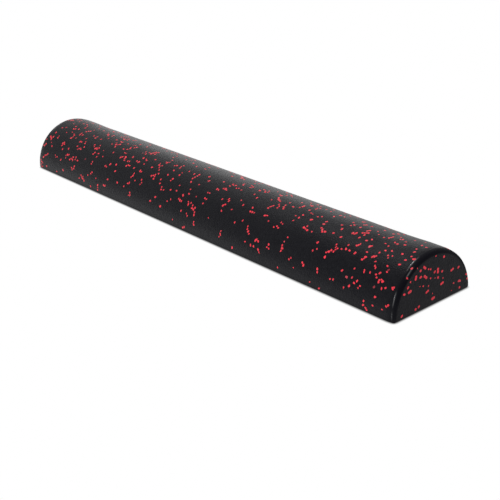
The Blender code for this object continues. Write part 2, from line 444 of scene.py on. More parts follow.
# %% Round marks
GUN_DIAMETER, GUN_SPACING, GUN_COUNT = 0.020, 0.2286, 4
VENT_DIAMETER, VENT_SPACING, VENT_COUNT = 0.008, 0.0762, 11
VENT_ROW_OFFSET = 0.045
MARK_DEPTH = 0.0006
MARK_SIDES = 40
MARK_EDGE = np.radians(35)              # an edge that turns more than this is shaded sharp


def mark_places():
    """Middles (x, y) and diameters of the marks: one row of guns, a row of vents on each side."""
    guns = (np.arange(GUN_COUNT) - (GUN_COUNT - 1) / 2) * GUN_SPACING
    vents = (np.arange(VENT_COUNT) - (VENT_COUNT - 1) / 2) * VENT_SPACING
    x = np.concatenate((guns, vents, vents))
    y = np.concatenate((0 * guns, 0 * vents - VENT_ROW_OFFSET, 0 * vents + VENT_ROW_OFFSET))
    diameter = np.where(np.arange(len(x)) < GUN_COUNT, GUN_DIAMETER, VENT_DIAMETER)
    return np.column_stack((x, y)), diameter


def cut_marks(piece):
    """Sink flat discs into the flat side: a circle swept from below it up to the mark's depth."""
    middles, diameters = mark_places()
    turn = np.linspace(0, 2 * np.pi, MARK_SIDES, endpoint=False)
    circle = np.stack((np.cos(turn), np.sin(turn)), axis=-1)
    flat = middles[:, None, :] + 0.5 * diameters[:, None, None] * circle
    heights = np.array((-MARK_DEPTH, MARK_DEPTH))
    level = np.broadcast_to(flat[:, None], (len(flat), 2, MARK_SIDES, 2))
    height = np.broadcast_to(heights[None, :, None, None], level.shape[:3] + (1,))
    points = np.concatenate((level, height), axis=-1).reshape(-1, 3)
    first = 2 * MARK_SIDES * np.arange(len(flat))[:, None]
    step = np.arange(MARK_SIDES)
    walls = (ring_quads(2, MARK_SIDES)[None] + first[:, :, None]).reshape(-1, 4)
    bottoms = first + step[::-1]
    tops = first + MARK_SIDES + step
    cutter = new_object("mark_cutter", points, [walls, bottoms, tops], smooth=False)
    boolean = piece.modifiers.new("marks", "BOOLEAN")
    boolean.object = cutter
    boolean.solver = "MANIFOLD"
    evaluated = piece.evaluated_get(bpy.context.evaluated_depsgraph_get())
    marked = bpy.data.meshes.new_from_object(evaluated)
    piece.modifiers.clear()
    piece.data = marked
    bpy.data.objects.remove(cutter)
    marked.shade_smooth()
    marked.set_sharp_from_angle(angle=MARK_EDGE)


cut_marks(foam_skin)
print("foam skin with its marks:", len(foam_skin.data.polygons), "faces")
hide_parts("foam_body")
ride_on_root(foam_skin)

# %% [markdown]
# ## Places for the red beads
# The red beads aren't spread evenly. They come in singles, pairs and short crooked chains, and
# leave bare patches as wide as a thumb. Each chain is a seed and a few steps of one bead's
# width, each turned a little from the last. The places are worked out on the unrolled skin:
# the first number runs along the roller, the second over the barrel from the near long edge.

# %% Chains of beads
BEAD_STEP = 0.0043                      # from one bead of a chain to the next
CHAIN_SHARES = (0.66, 0.24, 0.07, 0.03)     # chains of one, two, three and four beads
CHAIN_LENGTHS = np.arange(1, 1 + len(CHAIN_SHARES))
CHAIN_BEND = 0.75                       # radians
SEED_GAP = 0.0058                       # two chains start no nearer than this


def spaced(places, gap):
    """Which places to keep so that no two are nearer than the gap: the earlier one stays."""
    distance = np.linalg.norm(places[:, None] - places[None], axis=-1)
    near = np.tril(distance < gap, k=-1)
    keep = np.ones(len(places), bool)
    for index in range(1, len(places)):
        keep[index] = not (near[index, :index] & keep[:index]).any()
    return keep


def grow_chains(seeds, rng):
    """Beads of short crooked chains that start at the seeds.

    Each bead is one step from the last, along a heading that turns by a random bend.
    """
    count = rng.choice(CHAIN_LENGTHS, size=len(seeds), p=CHAIN_SHARES)
    heading = rng.uniform(0, 2 * np.pi, len(seeds))
    place = seeds
    beads = [place]
    for step in CHAIN_LENGTHS[:-1]:
        place = place + BEAD_STEP * np.column_stack((np.cos(heading), np.sin(heading)))
        heading = heading + rng.normal(0, CHAIN_BEND, len(seeds))
        beads.append(place[count > step])
    return np.concatenate(beads)


def scatter(low, high, per_square_metre, richness, rng):
    """Chains over a rectangle, with as many seeds in each part of it as its richness says."""
    area = np.prod(np.subtract(high, low))
    seeds = rng.uniform(low, high, size=(int(area * per_square_metre), 2))
    seeds = seeds[rng.random(len(seeds)) < richness(seeds)]
    return grow_chains(seeds[spaced(seeds, SEED_GAP)], rng)


# %% [markdown]
# ### The near third of the barrel, read from the photograph
# Close to the camera the eye picks out single beads, so those are placed one by one. Each pair
# of numbers is the middle of one bead in the picture. It was read in an enlarged crop,
# turned from the crop's pixels into the picture's, and rounded to half a pixel. A ray through
# it is followed to the barrel, so the bead lies on the skin and stays there when it is seen
# from another side.

# %% Beads of the near third
EDGE_MARGIN = 0.0045                    # no bead's middle is nearer to a long edge
NEAR_PICTURE_EDGE = 330.0               # beads right of this are the ones that were read
NEAR_BEADS = np.array((
    (330, 279), (331, 211.5), (333, 279.5), (333.5, 233), (333.5, 251.5), (334, 210),
    (334, 216.5), (335.5, 249.5), (336, 247), (336.5, 244.5), (337.5, 248.5), (340.5, 215.5),
    (341, 237), (341.5, 249), (342, 225), (342, 229), (342, 270.5), (343.5, 287.5),
    (344.5, 217), (345, 213), (346, 249), (346.5, 277), (348.5, 245), (349, 286),
    (349.5, 250.5), (350.5, 216), (351, 225.5), (352, 277.5), (353, 233), (353.5, 222.5),
    (354, 283), (354.5, 225), (354.5, 234), (354.5, 268.5), (355, 253), (356.5, 233),
    (356.5, 245.5), (357, 281), (358, 217.5), (358, 288), (358.5, 245), (359.5, 237.5),
    (360, 286), (360.5, 227.5), (360.5, 244), (362, 259.5), (362.5, 233), (363, 222),
    (363, 305), (363.5, 301), (364, 225), (364, 258.5), (364, 272), (364.5, 233),
    (364.5, 235), (364.5, 270), (365, 222), (365.5, 257), (365.5, 308), (366.5, 225),
    (366.5, 233), (366.5, 240.5), (366.5, 310), (367, 252), (367.5, 231), (368.5, 233),
    (369.5, 246.5), (370, 230.5), (370, 272.5), (371.5, 246), (372, 226.5), (372, 239.5),
    (372, 257), (372.5, 305.5), (374, 256.5), (374, 287), (375, 266), (375, 297),
    (375.5, 261.5), (375.5, 268), (376, 256), (376, 274.5), (376.5, 277.5), (378, 231.5),
    (378.5, 282), (379, 234.5), (379.5, 252.5), (379.5, 280), (380, 273), (381.5, 279.5),
    (381.5, 288.5), (382, 309.5), (382.5, 281.5), (384, 237.5), (385, 230.5), (385.5, 243.5),
    (385.5, 250.5), (385.5, 288), (386, 306.5), (387, 272), (387.5, 266), (388, 255.5),
    (388, 258), (388, 305.5), (388.5, 246), (388.5, 270), (389, 238), (389.5, 229),
    (391, 237.5), (392, 251), (392.5, 256), (392.5, 288.5), (393, 237), (393.5, 234),
    (394, 287.5), (395, 242.5), (397.5, 244), (398.5, 234), (399.5, 264.5), (400.5, 239.5),
    (401, 237.5), (402.5, 254), (403, 239.5), (404, 234.5), (405, 245), (405.5, 260),
    (406, 242), (411.5, 256.5), (414, 259), (414.5, 252), (415, 240.5), (416.5, 249),
    (422, 245.5), (425.5, 242.5), (426.5, 247.5),
))
BARREL_PASSES = 2                       # the flare is known from the second on


def barrel_places(pixels):
    """Follow rays through the picture to the barrel: places (along, around) on its unrolled skin.

    A ray from the eye meets the cylinder where y squared plus z squared is the radius squared,
    which is a quadratic for the way along the ray. The nearer meeting is the one that shows.
    A second pass takes the radius with the flare at the place that the first one found.
    """
    rays = picture_rays(pixels)
    a = (rays[:, 1:] ** 2).sum(axis=1)
    b = 2 * (rays[:, 1:] @ EYE[1:])
    radius = RADIUS
    for _ in range(BARREL_PASSES):
        c = (EYE[1:] ** 2).sum() - radius ** 2
        way = (-b - np.sqrt(np.maximum(b * b - 4 * a * c, 0))) / (2 * a)
        hit = EYE + way[:, None] * rays
        radius = RADIUS * flare(hit)
    around = RADIUS * np.arctan2(hit[:, 2], -hit[:, 1])
    return np.column_stack((hit[:, 0], np.clip(around, EDGE_MARGIN, ARC - EDGE_MARGIN)))


near_beads = barrel_places(NEAR_BEADS)
print("beads read from the picture:", len(near_beads))

# %% [markdown]
# ### The rest of the barrel
# Further off only the larger pattern counts: where the beads crowd, and where the foam is bare.
# Each patch is given by its middle in the picture and its radius on the roller in millimetres.
# Both were judged in enlarged crops, so the tenths of a pixel say more than the eye saw.
# The hidden side is out of sight, and its patches are a guess made with waves.

# %% Rich and bare patches
BARE_PATCHES = np.array((
    (98.8, 164.4, 17), (100.9, 174.9, 18), (89.3, 144.5, 12), (107, 141, 9), (146.9, 172.8, 13),
    (149, 187.4, 17), (140.6, 210.4, 13), (179.3, 182.2, 12), (121.8, 200, 13), (215.5, 203.3, 17),
    (230.8, 231.8, 13), (247.1, 223.7, 10), (263.5, 224.7, 18), (305.3, 243.1, 16), (281.8, 257.3, 11),
    (336, 262, 17), (327, 228, 9), (344, 262, 14),
))
RICH_PATCHES = np.array((
    (81, 123.6, 14), (65.3, 125.7, 12), (90.4, 129.9, 12), (88.3, 157, 9), (126, 156, 16),
    (182.4, 169.6, 14), (77.8, 139.3, 9), (61, 162, 8), (203.3, 180.8, 12), (261.4, 191, 11),
    (254.3, 238, 9), (266.5, 245.1, 9), (307.3, 206.3, 11), (287, 209.4, 10), (231.8, 193, 9),
    (335, 247, 9),
))
BARREL_SEEDS = 9500.0                   # candidates for each square metre
CROWN_SHARE, EDGE_SHARE = 0.42, 0.20    # of them that stay, at the crown and at the long edges
CROWN_POWER = 0.7                       # below 1 the share rises soon after the edge
RICHER, BARER = 1.6, 0.97               # what the middle of a patch adds, and takes away
PATCH_WAVE = 0.075                      # on the hidden side
HIDDEN_MIDDLE, HIDDEN_SWING = 0.85, 0.75
HIDDEN_LIMITS = (0.05, 2.2)
SEEN_UP_TO = np.radians(116)            # angle from the near long edge, over the crown


def patches_at(places, patches):
    """How deep in a patch each place is: 1 in its middle, fading out past its radius.

    It fades as e to the power of minus the fourth power of the distance over the radius.
    """
    middles = barrel_places(patches[:, :2])
    distance = np.linalg.norm(places[:, None] - middles[None], axis=-1)
    return np.exp(-((distance / (patches[:, 2] / MILLIMETRES)) ** 4)).max(axis=1)


def on_barrel(along, around, height=0.0):
    """Points over the barrel, its rims and its ends, for places on the unrolled skin.

    Past STRAIGHT the way along bends down the rounding, and past that it runs in towards the
    axis over the flat end. The height lifts a point off the skin.
    """
    angle = around / RADIUS
    way = np.clip(np.abs(along) - STRAIGHT, 0, None)
    run, drop, lean = rounding(way)
    inward = np.clip(way - SHOULDER_LENGTH - RIM_LENGTH, 0, None)
    x = np.sign(along) * (np.minimum(np.abs(along), STRAIGHT) + run + height * np.sin(lean))
    out = RADIUS - drop - inward + height * np.cos(lean)
    return flared(np.stack((x, -out * np.cos(angle), out * np.sin(angle)), axis=-1))


def barrel_richness(places):
    """Share of the seeds that stay at each place on the barrel.

    It rises from the long edges to the crown with a power of the sine of the angle, and is
    then multiplied by the hidden side's waves, by the rich patches and by the bare ones.
    """
    angle = places[:, 1] / RADIUS
    points = on_barrel(places[:, 0], places[:, 1])
    share = EDGE_SHARE + (CROWN_SHARE - EDGE_SHARE) * np.sin(angle) ** CROWN_POWER
    rolling = HIDDEN_MIDDLE + HIDDEN_SWING * waves(points, PATCH_WAVE, seed=31)
    rolling = np.clip(rolling, *HIDDEN_LIMITS)
    hidden = angle > SEEN_UP_TO
    share = share * np.where(hidden, rolling, 1.0)
    share = share * (1 + RICHER * patches_at(places, RICH_PATCHES))
    share = share * (1 - BARER * patches_at(places, BARE_PATCHES))
    read_already = (angle < SEEN_UP_TO) & (picture_places(points)[:, 0] > NEAR_PICTURE_EDGE)
    return np.where(read_already, 0.0, share)


barrel_random = np.random.default_rng(7)
barrel_corner = np.array((STRAIGHT + SHOULDER_LENGTH, EDGE_MARGIN))
low_corner, high_corner = barrel_corner * (-1, 1), barrel_corner * (1, -1) + (0, ARC)
far_beads = scatter(low_corner, high_corner, BARREL_SEEDS, barrel_richness, barrel_random)
far_beads[:, 1] = np.clip(far_beads[:, 1], EDGE_MARGIN, ARC - EDGE_MARGIN)
barrel_beads = np.concatenate((near_beads, far_beads))
print("beads on the barrel:", len(barrel_beads))

# %% [markdown]
# ## A red bead
# Each bead shows as a rounded spot, a little out of round. It could be painted on the foam,
# but a bead of its own can stand proud and has an edge that stays sharp. It is drawn as a low
# dome: a middle point and four rings. The third ring lies just over the skin and draws the
# visible edge, and the fourth is tucked under it. The offsets are made once for all beads as
# one array, and a function of the surface lays them over the barrel, an end or the flat side.

# %% One mesh for many beads
SPOT_SIDES = 12
SPOT_RINGS = np.array((0.5, 0.82, 1.0, 1.12))      # shares of the spot's radius
SPOT_HEIGHTS = np.array((0.95, 0.62, 0.1, -1.6))   # shares of how proud it stands
SPOT_PROUD = 0.00013
SPOT_BULGES = ((3, 0.09), (4, 0.05))    # soft bulges: how many round a spot, and their share
PHASES = 6.3                            # a full turn and a little more, in radians


def spot_radii(half_length, half_width, rng):
    """Radius of each spot in each direction: an oval times one plus cosines for soft bulges.

    The oval mixes its two half widths by the square of the cosine and of the sine.
    """
    angle = np.linspace(0, 2 * np.pi, SPOT_SIDES, endpoint=False)
    count = len(half_length)
    oval = half_length[:, None] * np.cos(angle) ** 2 + half_width[:, None] * np.sin(angle) ** 2
    bulge = np.ones((count, SPOT_SIDES))
    for number, share in SPOT_BULGES:
        bulge += share * np.cos(number * angle + rng.uniform(0, PHASES, (count, 1)))
    return oval * bulge


def spots(name, centres, radii, turn, surface, rng, proud=SPOT_PROUD):
    """Make one mesh of domes, each closed by one face under the skin.

    The surface function turns places and heights into points. It has to put its second
    direction a quarter turn left of its first when it is seen from outside, so that the faces
    point out.
    """
    count, sides = radii.shape
    angle = np.linspace(0, 2 * np.pi, sides, endpoint=False) + turn[:, None]
    reach = radii[:, None, :] * SPOT_RINGS[None, :, None]
    first = centres[:, None, None, 0] + reach * np.cos(angle)[:, None, :]
    second = centres[:, None, None, 1] + reach * np.sin(angle)[:, None, :]
    height = np.broadcast_to(proud * SPOT_HEIGHTS[None, :, None], first.shape)
    rings = surface(first, second, height).reshape(count, -1, 3)
    middles = surface(centres[:, 0], centres[:, 1], np.full(count, proud))
    points = np.concatenate((middles[:, None], rings), axis=1)

    per_spot = points.shape[1]
    start = per_spot * np.arange(count)[:, None, None]
    side = np.arange(sides)
    fan = np.column_stack((np.zeros(sides, int), 1 + side, 1 + (side + 1) % sides))
    bands = ring_quads(len(SPOT_RINGS), sides, first=1)[:, ::-1]
    under = start[:, :, 0] + 1 + (len(SPOT_RINGS) - 1) * sides + side[::-1]
    faces = [(fan[None] + start).reshape(-1, 3), (bands[None] + start).reshape(-1, 4), under]
    piece = new_object(name, points.reshape(-1, 3), faces)
    point_attribute(piece.data, "tone", np.repeat(rng.random(count), per_spot))
    print(name, "beads:", count, "faces:", len(piece.data.polygons))
    return piece


# %% [markdown]
# ### Beads of the barrel and the rims
# At the size that the roller is taken to have, a bead is drawn about 4 mm long and 2.6 mm wide.
# The rims hold few: the four that show on the near one are placed by how far the rim has turned
# towards the end, and by their angle up from the near long edge. Ten more, spread over the far
# rim, are a guess.

# %% Barrel and rim beads
SPOT_HALF_LENGTH = 0.0018
SPOT_HALF_WIDTH = 0.0013
SIZE_SPREAD, SIZE_LIMITS = 0.14, (0.7, 1.4)
LENGTH_SPREAD, WIDTH_SPREAD = (0.92, 1.25), (0.85, 1.15)
RIM_BEADS_SHOWN = np.radians(((19, 60), (46, 49), (86, 162), (82, 168)))
RIM_BEADS_HIDDEN = 10
RIM_CLEARANCE = 0.001                   # from the shoulder


def oval_spots(name, centres, surface, seed, size=1.0, **more):
    """Spots of about one bead each, all a little unlike in size, shape and turn."""
    rng = np.random.default_rng(seed)
    scale = size * np.clip(rng.normal(1.0, SIZE_SPREAD, len(centres)), *SIZE_LIMITS)
    half_length = SPOT_HALF_LENGTH * scale * rng.uniform(*LENGTH_SPREAD, len(centres))
    half_width = SPOT_HALF_WIDTH * scale * rng.uniform(*WIDTH_SPREAD, len(centres))
    radii = spot_radii(half_length, half_width, rng)
    turn = rng.uniform(0, 2 * np.pi, len(centres))
    return spots(name, centres, radii, turn, surface, rng, **more)


barrel_spots = oval_spots("barrel_beads", barrel_beads, on_barrel, seed=41)
shown_way = SHOULDER_LENGTH + RIM_ARC * (RIM_BEADS_SHOWN[:, 0] - SHOULDER_TURN)
rim_shown = np.column_stack((STRAIGHT + shown_way, RADIUS * RIM_BEADS_SHOWN[:, 1]))
rim_random = np.random.default_rng(8)
rim_low = (STRAIGHT + SHOULDER_LENGTH + RIM_CLEARANCE, 2 * FOOT)
rim_high = (STRAIGHT + SHOULDER_LENGTH + RIM_LENGTH, ARC - 2 * FOOT)
rim_hidden = rim_random.uniform(rim_low, rim_high, size=(RIM_BEADS_HIDDEN, 2)) * (-1, 1)
rim_spots = oval_spots("rim_beads", np.concatenate((rim_shown, rim_hidden)), on_barrel, seed=42)
for piece in (barrel_spots, rim_spots):
    ride_on_root(piece)

# %% [markdown]
# ### Beads of the flat ends
# The CAD model holds the larger beads of each end as solids in pockets. Here each one's face is
# read back from its node and drawn again as a finer dome in the same place. A few small faint
# beads that the model leaves out are added from the photograph. The far end is out of sight: it
# gets the same beads, turned half round, which is a guess.

# %% End beads
END_SIDES = 24
END_WAVES = 5                           # of a bead's outline that are kept
END_SHARE = 0.84                        # of a CAD bead's radius, fitted to the photograph
FACE_DEPTH = 0.00001                    # points this near to the end belong to a bead's face
SMALL_SIZE = 0.6                        # of a barrel bead
SMALL_END_BEADS = np.array((
    (417.5, 268.5), (420, 286.5), (428.5, 286), (432.5, 293.5), (451.5, 290.5), (436, 256),
    (443, 278), (435, 278),
))


def face_outline(node, side):
    """A CAD bead's face on the end: its middle, and its radius in END_SIDES directions.

    The radii go through a Fourier transform that drops the short waves, which rounds off the
    CAD outline's corners.
    """
    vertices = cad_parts[node].data.vertices
    points = np.empty(3 * len(vertices), np.float32)
    vertices.foreach_get("co", points)
    points = points.reshape(-1, 3)
    face = points[np.abs(points[:, 0]) > HALF_LENGTH - FACE_DEPTH][:, 1:] * (side, 1)
    face = np.unique(face.round(6), axis=0)
    middle = face.mean(axis=0)
    spokes = face - middle
    angles = np.arctan2(spokes[:, 1], spokes[:, 0])
    order = np.argsort(angles)
    lengths = np.linalg.norm(spokes, axis=1)[order]
    wanted = np.linspace(-np.pi, np.pi, END_SIDES, endpoint=False)
    spectrum = np.fft.rfft(np.interp(wanted, angles[order], lengths, period=2 * np.pi))
    spectrum[END_WAVES + 1:] = 0
    return middle, np.fft.irfft(spectrum, END_SIDES)


def end_surface(side):
    """The flat end on one side, as a surface function: across, up and out."""
    def surface(across, up, height):
        return np.stack((side * (HALF_LENGTH + height), side * across, up), axis=-1)
    return surface


def end_places(pixels):
    """Follow rays through the picture to the near flat end: places (across, up)."""
    rays = picture_rays(pixels)
    way = (HALF_LENGTH - EYE[0]) / rays[:, 0]
    return (EYE + way[:, None] * rays)[:, 1:]


for end, side in (("right_end", 1), ("left_end", -1)):
    nodes = sorted(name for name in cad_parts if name.startswith(end + "_bead"))
    middles, radii = zip(*(face_outline(node, side) for node in nodes))
    rng = np.random.default_rng(50 + side)
    turn = np.full(len(nodes), -np.pi)
    radii = END_SHARE * np.array(radii)
    end_spots = spots(end + "_beads", np.array(middles), radii, turn, end_surface(side), rng)
    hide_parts(*nodes)
    small = end_places(SMALL_END_BEADS)
    surface = end_surface(side)
    small_spots = oval_spots(end + "_small_beads", small, surface, seed=60 + side, size=SMALL_SIZE)
    for piece in (end_spots, small_spots):
        ride_on_root(piece)

# %% [markdown]
# ### Beads of the flat side
# The flat side is out of sight. It is taken to be of the same mix, so it gets beads too,
# spread evenly, with none over a mark. They stand less proud, because the roller lies on them.

# %% Flat side beads
FLAT_SEEDS = 3300.0
FLAT_PROUD = 0.00004
FLAT_MARGIN = 0.009


def under_flat(along, across, height):
    """Points on the flat side, seen from below: across runs towards -Y."""
    return np.stack((along, -across, -height), axis=-1)


def clear_of_marks(places):
    """1 where no mould mark is near, 0 where one is."""
    middles, diameters = mark_places()
    distance = np.linalg.norm(places[:, None] * (1, -1) - middles[None], axis=-1)
    return (distance > 0.5 * diameters + FLAT_MARGIN).all(axis=1).astype(float)


flat_corner = np.array((HALF_LENGTH, RADIUS)) - FLAT_MARGIN
flat_random = np.random.default_rng(9)
flat_beads = scatter(-flat_corner, flat_corner, FLAT_SEEDS, clear_of_marks, flat_random)
flat_spots = oval_spots("flat_side_beads", flat_beads, under_flat, seed=43, proud=FLAT_PROUD)
ride_on_root(flat_spots)

# %% [markdown]
# ## Shader groups
# Two effects are shared by the black foam and the red beads, so each is a node group that is
# built once and placed in both materials. A group gives out plain numbers, and the shader
# itself stays in the material. These helpers keep the building short: each adds one node and
# returns the socket that comes out of it.

# %% Group helpers
def new_group(name, inputs, outputs):
    """An empty shader node group with number inputs and the given outputs."""
    group = bpy.data.node_groups.new(name, "ShaderNodeTree")
    for label, value in inputs:
        socket = group.interface.new_socket(label, in_out="INPUT", socket_type="NodeSocketFloat")
        socket.default_value = value
    for label in outputs:
        group.interface.new_socket(label, in_out="OUTPUT", socket_type="NodeSocketFloat")
    entry = group.nodes.new("NodeGroupInput")
    result = group.nodes.new("NodeGroupOutput")
    return group, entry, result


def math_node(tree, operation, first, second):
    """A Math node; a number or a socket may be given for either input."""
    node = tree.nodes.new("ShaderNodeMath")
    node.operation = operation
    for socket, value in zip(node.inputs, (first, second)):
        if isinstance(value, bpy.types.NodeSocket):
            tree.links.new(value, socket)
        else:
            socket.default_value = value
    return node.outputs[0]


def ramp_node(tree, value, low, high, to_low=0.0, to_high=1.0):
    """A Map Range node with a smooth step between low and high."""
    node = tree.nodes.new("ShaderNodeMapRange")
    node.interpolation_type = "SMOOTHSTEP"
    tree.links.new(value, node.inputs["Value"])
    node.inputs["From Min"].default_value = low
    node.inputs["From Max"].default_value = high
    node.inputs["To Min"].default_value = to_low
    node.inputs["To Max"].default_value = to_high
    return node.outputs[0]


def noise_node(tree, place, scale, detail=2.0):
    """A Noise Texture read at a place; its scale may be a number or a socket."""
    node = tree.nodes.new("ShaderNodeTexNoise")
    tree.links.new(place, node.inputs["Vector"])
    node.inputs["Detail"].default_value = detail
    if isinstance(scale, bpy.types.NodeSocket):
        tree.links.new(scale, node.inputs["Scale"])
    else:
        node.inputs["Scale"].default_value = scale
    return node.outputs["Fac"]


# %% [markdown]
# ### The moulded skin
# On moulded bead foam each bead usually keeps its own faint shade, with a shallow groove where
# it meets the next, and a fine pebbling lies over all. The photograph shows only a fine grain,
# so the sizes here are chosen, and the depth of the bump, set further down, is fitted to it.
# Voronoi cells suit the skin, because they meet much as swollen beads do. They are read at
# Object coordinates, so the pattern has no seam.

# %% Moulded skin group
GROOVE_REACH = 0.3                      # of a cell, from where two meet


def moulded_skin_group():
    """Bead cells from Voronoi: a shade for each, a groove where two meet, and pebbling over all."""
    inputs = (("Bead Size", 0.0036), ("Pebble Size", 0.0011), ("Groove", 0.5))
    tree, entry, result = new_group("moulded skin", inputs, ("Height", "Shade", "Pebble"))
    place = tree.nodes.new("ShaderNodeTexCoord").outputs["Object"]
    bead_scale = math_node(tree, "DIVIDE", 1.0, entry.outputs["Bead Size"])
    pebble_scale = math_node(tree, "DIVIDE", 1.0, entry.outputs["Pebble Size"])
    cells = tree.nodes.new("ShaderNodeTexVoronoi")
    edges = tree.nodes.new("ShaderNodeTexVoronoi")
    edges.feature = "DISTANCE_TO_EDGE"
    for node in (cells, edges):
        tree.links.new(place, node.inputs["Vector"])
        tree.links.new(bead_scale, node.inputs["Scale"])
    shade = tree.nodes.new("ShaderNodeSeparateColor")
    tree.links.new(cells.outputs["Color"], shade.inputs["Color"])
    groove = ramp_node(tree, edges.outputs["Distance"], 0.0, GROOVE_REACH, -1.0, 0.0)
    groove = math_node(tree, "MULTIPLY", groove, entry.outputs["Groove"])
    swell = noise_node(tree, place, bead_scale, detail=1.0)
    pebble = noise_node(tree, place, pebble_scale, detail=3.0)
    height = math_node(tree, "ADD", groove, math_node(tree, "ADD", swell, pebble))
    tree.links.new(height, result.inputs["Height"])
    tree.links.new(shade.outputs["Red"], result.inputs["Shade"])
    tree.links.new(pebble, result.inputs["Pebble"])
    return tree


moulded_skin = moulded_skin_group()
print("moulded skin nodes:", len(moulded_skin.nodes))

# %% [markdown]
# ### Handling
# Foam that is handled seldom stays evenly black, so faint dusty patches are laid over it. That
# this roller has any is a guess, for the photograph is too coarse to show them. Broad noise
# gives the patches and fine noise gives specks. The two are multiplied, so that specks fill
# the patches and leave the rest clean.

# %% Handling group
PATCH_RAMP, SPECK_RAMP = (0.35, 0.7), (0.45, 0.75)  # noise values where they start and are full


def handling_group():
    """Dull patches: broad noise, broken up by fine noise."""
    inputs = (("Patch Size", 0.06), ("Speck Size", 0.0024))
    tree, entry, result = new_group("handling", inputs, ("Dull", "Speck"))
    place = tree.nodes.new("ShaderNodeTexCoord").outputs["Object"]
    patch_scale = math_node(tree, "DIVIDE", 1.0, entry.outputs["Patch Size"])
    speck_scale = math_node(tree, "DIVIDE", 1.0, entry.outputs["Speck Size"])
    patch = ramp_node(tree, noise_node(tree, place, patch_scale), *PATCH_RAMP)
    speck = ramp_node(tree, noise_node(tree, place, speck_scale), *SPECK_RAMP)
    dull = math_node(tree, "MULTIPLY", speck, patch)
    tree.links.new(dull, result.inputs["Dull"])
    tree.links.new(speck, result.inputs["Speck"])
    return tree


handling = handling_group()
print("handling nodes:", len(handling.nodes))

# %% [markdown]
# ## Materials
# The foam is taken to be almost perfectly black: what the eye sees on it is mostly the white
# room, mirrored weakly where it is seen face on and strongly where it is seen at a glance. So
# its own colour is very dark, its Specular IOR Level is low, and the barrel still turns pale
# towards its top. The rims are dark in the photo. Why is not seen there, and several widths
# and finishes of a rougher band fit it about as well, so this one is a guess that fits. The
# band's colour is also darkened, which is painted shade.

# %% Material helpers
def new_material(name, specular):
    """A Principled material with the two groups in it and a specular level that never changes."""
    material = bpy.data.materials.new(name)
    material.use_nodes = True
    tree = material.node_tree
    shader = tree.nodes["Principled BSDF"]
    shader.inputs["Specular IOR Level"].default_value = specular
    skin = tree.nodes.new("ShaderNodeGroup")
    skin.node_tree = moulded_skin
    wear = tree.nodes.new("ShaderNodeGroup")
    wear.node_tree = handling
    return material, tree, shader, skin, wear


def attribute_node(tree, name):
    """The piece's own attribute of that name."""
    node = tree.nodes.new("ShaderNodeAttribute")
    node.attribute_name = name
    return node.outputs["Fac"]


def mix_colours(tree, share, first, second):
    """A colour between two others; each may be a colour or a socket."""
    node = tree.nodes.new("ShaderNodeMix")
    node.data_type = "RGBA"
    tree.links.new(share, node.inputs["Factor"])
    for label, value in (("A", first), ("B", second)):
        socket = next(s for s in node.inputs if s.name == label and s.type == "RGBA")
        if isinstance(value, bpy.types.NodeSocket):
            tree.links.new(value, socket)
        else:
            socket.default_value = (*value, 1.0)
    return next(s for s in node.outputs if s.type == "RGBA")


def bump(tree, shader, height, depth):
    """Feed a height into the shader's normal, with its depth in metres."""
    node = tree.nodes.new("ShaderNodeBump")
    node.inputs["Distance"].default_value = depth
    tree.links.new(height, node.inputs["Height"])
    tree.links.new(node.outputs["Normal"], shader.inputs["Normal"])


# %% [markdown]
# Where the foam is matt is worked out once, point by point, from the shape: on the rounding
# between the barrel and a flat end, and less towards the long edges, where the photograph is
# lighter. The same mask also darkens the colour there, as painted shade. A second mask draws
# the few short bright streaks that the photograph has there, most of them on the raised line,
# as a glossy film that catches the lamps, and also as a lighter grey in the colour, which is a
# painted highlight. The photo shows that they are bright, not what they are made of.

# %% Masks of the rims
MATT_STARTS, MATT_FULL = 0.0100, 0.0040         # from the end
MATT_FADE = 0.0015                              # on the flat end
MATT_AT_FOOT = 0.1                              # share of it that is left at the long edges
MATT_WHOLE_UP = 0.6 * RADIUS                    # height from which it is whole
FILM_WIDTH = 0.0007
# Each streak: its middle and half its length in degrees up from the near long edge, how far it
# lies beyond the raised line in metres, and its strength
GLINT_FILM_STREAKS = np.array((
    (65, 9, 0.0, 1.0), (25, 7, 0.0, 1.0), (8, 4, 0.0, 0.45), (55, 6, 0.0045, 0.65),
))


def mark_rims(piece):
    """Store two masks on a piece's points: how matt the rims are, which also paints shade on
    them, and the streaks of film, which also paint a highlight.

    The first is a smooth step along the roller, times one in from the flat end's edge, times
    one up from the long edges. A streak is a bell curve across its line, and along it a
    flatter one of the fourth power.
    """
    points = np.empty(3 * len(piece.data.vertices), np.float32)
    piece.data.vertices.foreach_get("co", points)
    points = points.reshape(-1, 3)
    from_end = HALF_LENGTH - np.abs(points[:, 0])
    out = np.hypot(points[:, 1], points[:, 2]) / flare(points)
    angle = np.arctan2(points[:, 2], -points[:, 1])
    past_barrel = smooth_step(-from_end, -MATT_STARTS, -MATT_FULL)
    before_end = smooth_step(out, RADIUS - RIM - MATT_FADE, RADIUS - RIM + MATT_FADE)
    film_and_painted_glint = np.zeros(len(points))
    for middle, half_length, beyond, strength in GLINT_FILM_STREAKS:
        across = (past_seam(points) - beyond) / FILM_WIDTH
        along = (angle - np.radians(middle)) / np.radians(half_length)
        film_and_painted_glint += strength * np.exp(-(across ** 2) - along ** 4)
    film_and_painted_glint *= out > RADIUS - RIM + MATT_FADE
    above_foot = MATT_AT_FOOT + (1 - MATT_AT_FOOT) * smooth_step(points[:, 2], 0, MATT_WHOLE_UP)
    point_attribute(piece.data, "matt_and_shade", past_barrel * before_end * above_foot)
    point_attribute(piece.data, "film_and_painted_glint", np.clip(film_and_painted_glint, 0, 1))
    print("points with film:", int((film_and_painted_glint > 0.5).sum()))


mark_rims(foam_skin)
